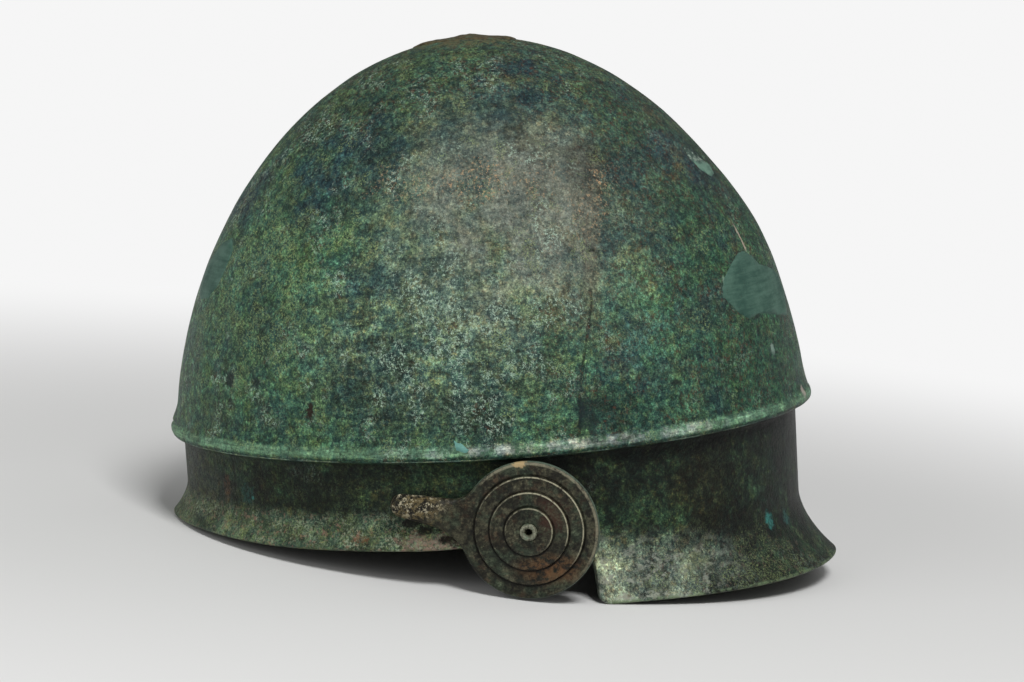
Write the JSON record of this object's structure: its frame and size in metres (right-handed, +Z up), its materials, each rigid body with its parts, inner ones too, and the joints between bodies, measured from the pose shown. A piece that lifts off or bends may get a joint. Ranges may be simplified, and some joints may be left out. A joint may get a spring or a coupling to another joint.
{
  "type": "etruscan helmet",
  "caption": "Ancient bronze bell helmet with a ridge, a neck guard and a stepped disc that turns on a rivet over each ear.",
  "frame": {"origin": "centre of the footprint, on the surface that the helmet stands on", "axes": "+Z up, -Y to the helmet's front, +X to the wearer's left; the helmet stands tipped forward on its front brim and the corners of its neck guard"},
  "size_m": [0.2132, 0.2544, 0.1895],
  "materials": {
    "green_bronze": "mottled green patina, dull",
    "brown_bronze": "dark brown patina, satin",
    "rivet_bronze": "brown-grey patina, rubbed pale on the ring",
    "dull_bronze": "dull dark green",
    "grey_green_fill": "smooth restoration filler, matte",
    "pale_fill": "pale blue-green filler, matte",
    "iron_residue": "brown-red crust, rough"
  },
  "bodies": {
    "helmet": {"helmet_bowl": "green_bronze", "lining_ring": "dull_bronze", "crown_residue": "iron_residue", "back_fill": "grey_green_fill", "upper_back_fill": "grey_green_fill", "front_fill": "grey_green_fill", "ridge_fill": "pale_fill", "left_disc_pin": "rivet_bronze", "left_pin_collar": "dull_bronze", "left_pin_washer": "dull_bronze", "right_disc_pin": "rivet_bronze", "right_pin_collar": "dull_bronze", "right_pin_washer": "dull_bronze"},
    "left_disc": {"left_ear_disc": "brown_bronze"},
    "right_disc": {"right_ear_disc": "brown_bronze"}
  },
  "joints": [
    {"name": "left_disc_turn", "type": "hinge", "parent": "helmet", "child": "left_disc", "pos_m": [0.09977, 0.00723, 0.02506], "axis": [0.9903, -0.1375, -0.0217], "range_deg": [-13, 4]},
    {"name": "right_disc_turn", "type": "hinge", "parent": "helmet", "child": "right_disc", "pos_m": [-0.09977, 0.00723, 0.02506], "axis": [0.9903, 0.1375, 0.0217], "range_deg": [-13, 4]}
  ]
}
